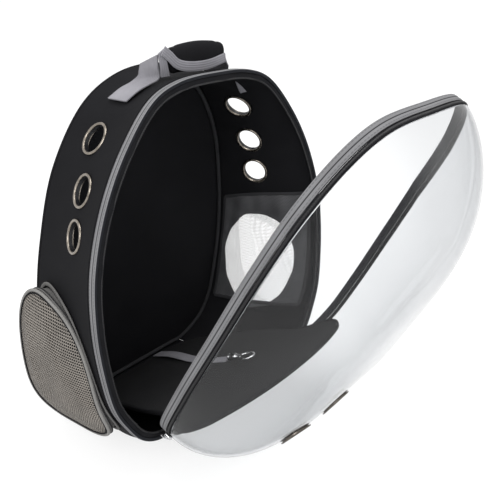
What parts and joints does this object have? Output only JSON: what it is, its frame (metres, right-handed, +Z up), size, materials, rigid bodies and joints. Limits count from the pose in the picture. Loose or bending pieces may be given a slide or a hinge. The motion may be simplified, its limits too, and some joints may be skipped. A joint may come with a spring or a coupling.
{
  "type": "pet carrier backpack",
  "caption": "Soft arched pet-carrier backpack with a clear bubble dome zipped open and tipped forward, mesh side pockets, metal eyelets, a floor mat and a top handle.",
  "frame": {"origin": "on the floor, under the middle of the whole thing with its dome open", "axes": "+Z up, -Y to the open front where the dome lies, +X to the right seen from the front's inside"},
  "size_m": [0.389, 0.4162, 0.4275],
  "materials": {
    "black_fabric": "matt woven",
    "grey_binding": "woven tape",
    "dark_tape": "zip tape",
    "grey_mesh": "open mesh",
    "grey_webbing": "ribbed webbing",
    "nickel": "warm nickel",
    "steel": "bright plated",
    "clear_plastic": "clear gloss"
  },
  "bodies": {
    "root": {"bottom_panel": "black_fabric", "back_panel": "black_fabric", "gusset": "black_fabric", "hinge_cloth": "black_fabric", "floor_mat": "black_fabric", "mat_binding": "black_fabric", "handle_grip": "black_fabric", "shoulder_strap_left": "black_fabric", "shoulder_strap_right": "black_fabric", "shoulder_webbing_left": "black_fabric", "shoulder_webbing_right": "black_fabric", "rim_binding": "grey_binding", "dome_binding": "grey_binding", "pocket_binding_left": "grey_binding", "pocket_binding_right": "grey_binding", "rim_tape": "dark_tape", "dome_tape": "dark_tape", "back_seam": "dark_tape", "pocket_zip_left": "dark_tape", "pocket_zip_right": "dark_tape", "inner_mesh_left": "grey_mesh", "inner_mesh_right": "grey_mesh", "pocket_mesh_left": "grey_mesh", "pocket_mesh_right": "grey_mesh", "handle_strap_left": "grey_webbing", "handle_strap_right": "grey_webbing", "handle_trim": "grey_webbing", "tether_strap": "grey_webbing", "inner_tab": "grey_webbing", "eyelet_right_1": "nickel", "eyelet_right_2": "nickel", "eyelet_right_3": "nickel", "eyelet_left_1": "nickel", "eyelet_left_2": "nickel", "eyelet_left_3": "nickel", "dome_vent_right": "nickel", "dome_vent_left": "nickel", "tether_clip": "steel", "zip_slider": "steel", "dome_shell": "clear_plastic"}
  },
  "joints": []
}
